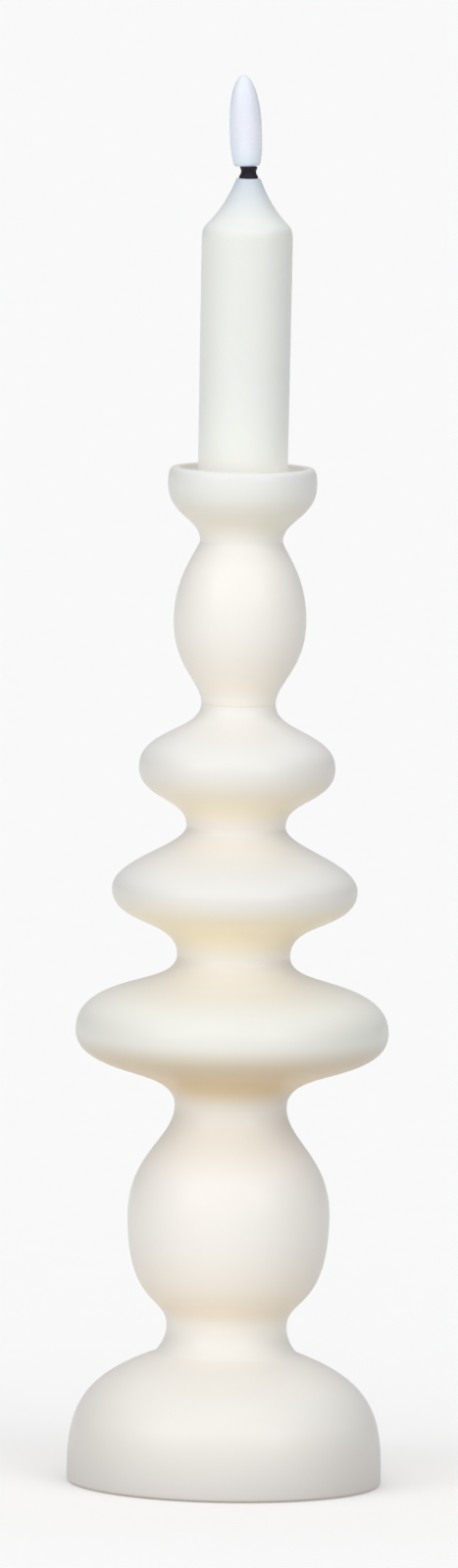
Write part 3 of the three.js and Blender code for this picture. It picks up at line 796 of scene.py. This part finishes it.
def switch_knob():
    """A small slider with three ridges under the finger."""
    low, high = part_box("switch_knob")
    ridges, depth, edge = 3, 0.25 * MM, 0.06 * MM
    width = (high.x - low.x) / (2 * ridges - 1)
    outline = [(low.x, high.z), (high.x, high.z)]
    for ridge in range(ridges):
        right = high.x - 2 * ridge * width
        outline += [(right, low.z), (right - width, low.z)]
        if ridge < ridges - 1:
            outline += [(right - width, low.z + depth), (right - 2 * width, low.z + depth)]
    knob = extruded("slide_knob", [(x, low.y, z) for x, z in outline], (0, high.y - low.y, 0))
    edges = knob.modifiers.new("edges", "BEVEL")
    edges.width = edge
    edges.segments = 2
    settle(knob)
    return knob


# ---------------------------------------------------------------- hidden CAD pieces


def dress(node, material):
    """Gives a CAD piece that stays its finish and broken edges."""
    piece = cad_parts[node]
    for slot in piece.material_slots:
        slot.material = material
    piece.modifiers.new("weld", "WELD").merge_threshold = SAME_PLACE * MM
    edges = piece.modifiers.new("edges", "BEVEL")
    edges.width = BROKEN_EDGE * MM
    edges.segments = 2
    edges.limit_method = "ANGLE"
    edges.angle_limit = SHARP_ANGLE


# ---------------------------------------------------------------- camera and studio


def make_camera():
    """A long lens, far off and rolled a little, that looks slightly down at the candlestick's middle."""
    distance, height, aim, aside = 4.372, 0.600, 0.1719, -0.00192
    lens, sensor, roll = 413.0, 36.0, math.radians(1.1)
    camera = bpy.data.objects.new("camera", bpy.data.cameras.new("camera"))
    bpy.context.scene.collection.objects.link(camera)
    camera.data.lens = lens
    camera.data.sensor_width = sensor
    camera.data.clip_end = 100
    camera.location = (aside, -distance, height)
    look = Vector((aside, 0, aim)) - camera.location
    turn = look.to_track_quat("-Z", "Y").to_matrix().to_4x4() @ Matrix.Rotation(roll, 4, "Z")
    camera.matrix_world = Matrix.Translation(camera.location) @ turn
    bpy.context.scene.camera = camera


def soft_light(name, azimuth, elevation, spread, strength, tint):
    """Parallel light from a direction, as soft as a box that spans the spread. Azimuth 0 is the front."""
    light = bpy.data.lights.new(name, "SUN")
    light.angle = math.radians(spread)
    light.energy = strength
    light.color = tint
    holder = bpy.data.objects.new(name, light)
    bpy.context.scene.collection.objects.link(holder)
    holder.rotation_euler = (math.radians(90 - elevation), 0, math.radians(azimuth))


class Surround(Graph):
    """The world round the object, as light that depends on the direction it comes from."""

    def __init__(self, name):
        world = bpy.data.worlds.new(name)
        world.use_nodes = True
        super().__init__(world.node_tree)
        self.direction = self.add("ShaderNodeTexCoord").outputs["Generated"]
        bpy.context.scene.world = world

    def glow(self, towards, edge, light):
        """Light that is full straight from one side and fades out at its edge, a cosine."""
        side = Vector(towards).normalized()
        facing = self.combined("ShaderNodeVectorMath", "DOT_PRODUCT", self.direction, side).outputs["Value"]
        return self.mixed(self.mapped(facing, edge, 1.0, 0.0, 1.0), (0, 0, 0, 1), (*light, 1))

    def total(self, light, *glows):
        """All of the lights together."""
        for glow in glows:
            light = self.combined("ShaderNodeVectorMath", "ADD", light, glow).outputs["Vector"]
        return light

    def lit(self, light):
        """Makes this the world's light."""
        self.feed(self.tree.nodes["Background"].inputs["Color"], light)


def make_surround():
    """A slightly cool room with a large pale screen in front, and a lit table's light from below.

    The light from below stands in for the floor's bounce, and more of it comes from the front. Past the
    floor's end the camera sees a backdrop as bright as the floor, so that no view has a line across it.
    """
    room, screen = (0.286, 0.298, 0.316), (0.676, 0.69, 0.718)
    table, table_front, table_back = (0.198, 0.2, 0.202), (0.99, 1.0, 1.01), (0.495, 0.5, 0.505)
    backdrop = (0.943, 0.947, 0.953, 1)
    s = Surround("studio")
    above = s.total(room, s.glow((0, -1, 0), 0.0, screen))
    below = s.total(table, s.glow((-0.34, -0.94, 0), 0.0, table_front), s.glow((0, 1, 0), 0.3, table_back))
    height = s.add("ShaderNodeSeparateXYZ", Vector=s.direction).outputs["Z"]
    light = s.mixed(s.mapped(height, -0.02, 0.0, 0.0, 1.0), below, above)
    s.lit(s.mixed(s.add("ShaderNodeLightPath").outputs["Is Camera Ray"], light, backdrop))


def make_studio():
    """A pale seamless floor, the surround, and soft boxes left and right of the front, behind and above.

    The floor takes the object's shadow. It neither shades the object nor bounces diffuse light onto it,
    because the surround holds the light from below, and its slight glow makes it nearly white.
    """
    mesh = bmesh.new()
    bmesh.ops.create_circle(mesh, cap_ends=True, radius=60, segments=SMALL_SIDES)
    floor = from_bmesh("floor", mesh)
    s = Surface("floor", Specular_IOR_Level=0.0, Emission_Color=(1.0, 0.9, 0.8, 1), Emission_Strength=0.05)
    dust = s.noise(s.place, 60.0, 3.0)
    s.colour(s.mixed(s.mapped(dust, 0.3, 0.7, 0.0, 1.0), (0.985, 0.958, 0.915, 1), (0.993, 0.966, 0.923, 1)))
    s.roughness(s.mapped(dust, 0.3, 0.7, 0.7, 0.8))
    floor.data.materials.append(s.material)
    floor.visible_diffuse = False
    floor.visible_shadow = False

    make_surround()
    cool, cooler = (0.96, 0.98, 1.02), (0.94, 0.98, 1.05)
    soft_light("left_box", -48, 25, 24, 0.25, cool)
    soft_light("right_box", 37, 25, 22, 0.24, cool)
    soft_light("back_box", 180, 35, 80, 0.25, cool)
    soft_light("overhead", 0, 85, 110, 1.234, cooler)
    bpy.context.scene.view_settings.view_transform = "Standard"


# ---------------------------------------------------------------- assembly

make_camera()
make_studio()

lacquer = cream_lacquer()
wax_finish = wax()
ivory = moulded("ivory_plastic", (0.78, 0.75, 0.66, 1), (0.83, 0.8, 0.71, 1), 0.4, 0.55)
black = moulded(
    "black_plastic", (0.004, 0.002, 0.006, 1), (0.02, 0.014, 0.028, 1), 0.4, 0.6, Specular_IOR_Level=0.25
)
white = moulded("white_plastic", (0.84, 0.84, 0.82, 1), (0.89, 0.89, 0.87, 1), 0.35, 0.5)
red = moulded("red_cover", (0.34, 0.02, 0.02, 1), (0.45, 0.04, 0.03, 1), 0.35, 0.5)
plated = steel()
bare_wood = beech()

SECTIONS = (
    ("foot", foot()),
    ("belly", section("turned_belly", FOOT_NECK, BELLY, BELLY_NECK, bore_below=SCREW_BORE)),
    ("lower_disc", section("turned_lower_disc", BELLY_NECK, LOWER_DISC, LOWER_NECK)),
    ("middle_disc", section("turned_middle_disc", LOWER_NECK, MIDDLE_DISC, MIDDLE_NECK)),
    ("upper_disc", section("turned_upper_disc", MIDDLE_NECK, UPPER_DISC, UPPER_NECK, seam_above=True)),
    ("candle_cup", cup()),
)
for node, piece in SECTIONS:
    present(piece, "candlestick", node, lacquer)
pad = present(felt_pad(), "candlestick", "felt_pad", felt())

present(candle_body(), "candle", "candle_body", wax_finish)
present(wick_collar(), "candle", "wick_collar", black)
present(flame_tip(), "candle", "flame_tip", opal_plastic())
present(battery_cap(), "cap", "battery_cap", ivory)
present(switch_knob(), "knob", "switch_knob", white)

HIDDEN = {
    "foot_screw": plated,
    "dowel_1": bare_wood,
    "dowel_2": bare_wood,
    "dowel_3": bare_wood,
    "dowel_4": bare_wood,
    "led_lamp": clear_resin(),
    "driver_board": circuit_board(),
    "battery_holder": white,
    "battery_cell": cell_jacket(),
    "top_contact": plated,
    "side_strip": plated,
    "positive_lead": red,
    "switch_case": black,
    "cap_contact": plated,
    "cap_spring": plated,
}
for node, material in HIDDEN.items():
    dress(node, material)
